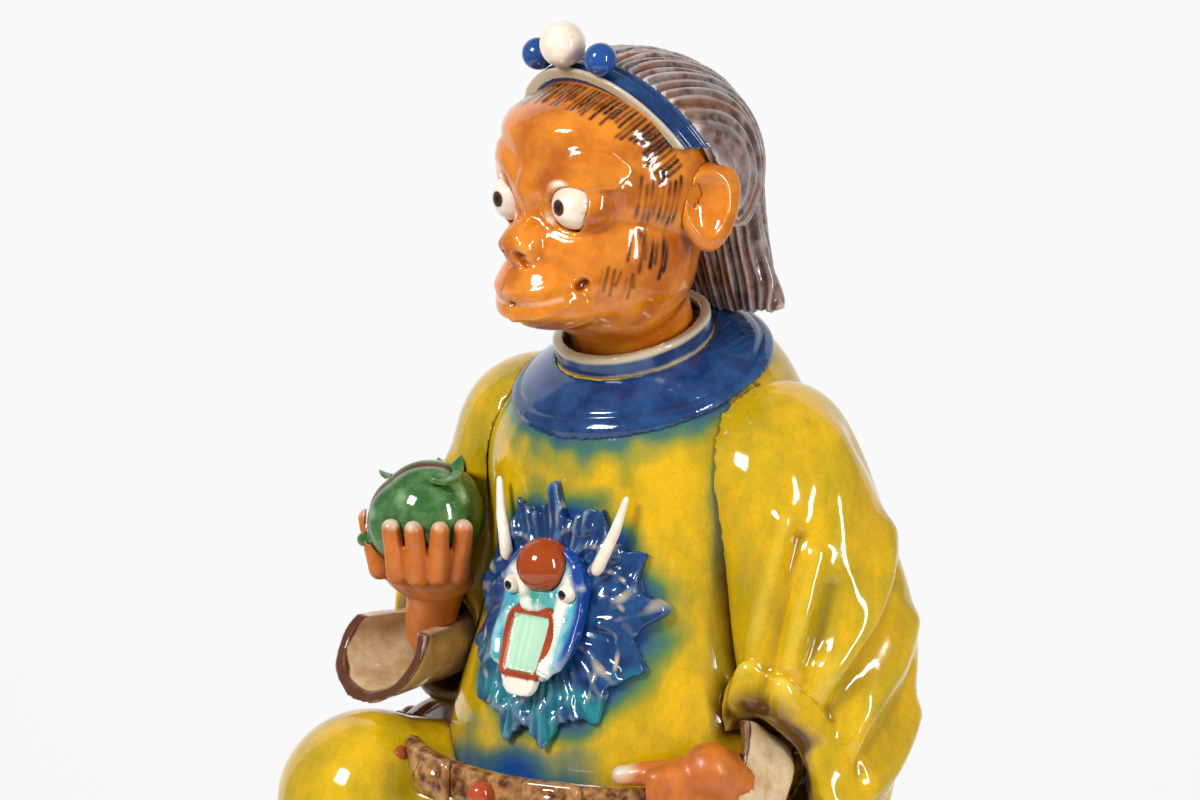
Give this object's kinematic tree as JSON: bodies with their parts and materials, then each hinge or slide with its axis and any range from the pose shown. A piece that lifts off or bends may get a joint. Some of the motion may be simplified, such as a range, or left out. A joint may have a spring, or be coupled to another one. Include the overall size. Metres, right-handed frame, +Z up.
{
  "type": "monkey figurine",
  "caption": "Glazed stoneware figurine of a robed monkey seated on rockwork, holding a fruit and a standing belt hoop, with a relief mask on its chest; free-standing ornament on a flat base",
  "frame": {"origin": "middle of the base's underside, on the surface the figurine stands on", "axes": "+Z up, the figure's front faces -Y, its left side is +X"},
  "size_m": [0.156, 0.148, 0.3229],
  "materials": {
    "base_glaze": "dark brown glaze",
    "rock_glaze": "streaked brown and green glaze",
    "robe_glaze": "crackled olive-yellow glaze",
    "collar_glaze": "cobalt-blue glaze",
    "boot_glaze": "black glaze",
    "white_slip": "white slip under clear glaze",
    "cuff_glaze": "cream glaze with brown edges",
    "bare_clay": "bare terracotta-coloured clay",
    "fruit_glaze": "green glaze",
    "face_glaze": "glossy amber glaze",
    "hair_glaze": "streaked brown and grey glaze over combed clay",
    "belt_glaze": "mottled brown and cream glaze",
    "stud_glaze": "reddish-brown glaze",
    "mask_glaze": "turquoise, white and red glazes"
  },
  "bodies": {
    "root": {"base_slab": "base_glaze", "rock_seat": "rock_glaze", "rock_step": "rock_glaze", "robe_front": "robe_glaze", "robe_back": "robe_glaze", "robe_right_leg": "robe_glaze", "robe_left_leg": "robe_glaze", "robe_apron": "collar_glaze", "right_boot": "boot_glaze", "right_boot_sole": "white_slip", "left_boot": "boot_glaze", "left_boot_sole": "white_slip", "left_sleeve": "robe_glaze", "right_sleeve": "robe_glaze", "left_cuff": "cuff_glaze", "right_cuff": "cuff_glaze", "left_hand": "bare_clay", "right_hand": "bare_clay", "fruit": "fruit_glaze", "fruit_leaves": "fruit_glaze", "shoulder_collar": "collar_glaze", "neck_band": "collar_glaze", "head": "face_glaze", "left_eye": "white_slip", "right_eye": "white_slip", "left_ear": "face_glaze", "right_ear": "face_glaze", "hair": "hair_glaze", "headband": "collar_glaze", "headband_beads": "white_slip", "belt_front": "belt_glaze", "belt_back": "belt_glaze", "belt_plaques": "belt_glaze", "belt_studs": "stud_glaze", "mask_mane": "collar_glaze", "mask_face": "mask_glaze", "mask_mouth": "stud_glaze", "mask_pearl": "face_glaze", "mask_eyes": "white_slip", "mask_horns": "white_slip"}
  },
  "joints": []
}
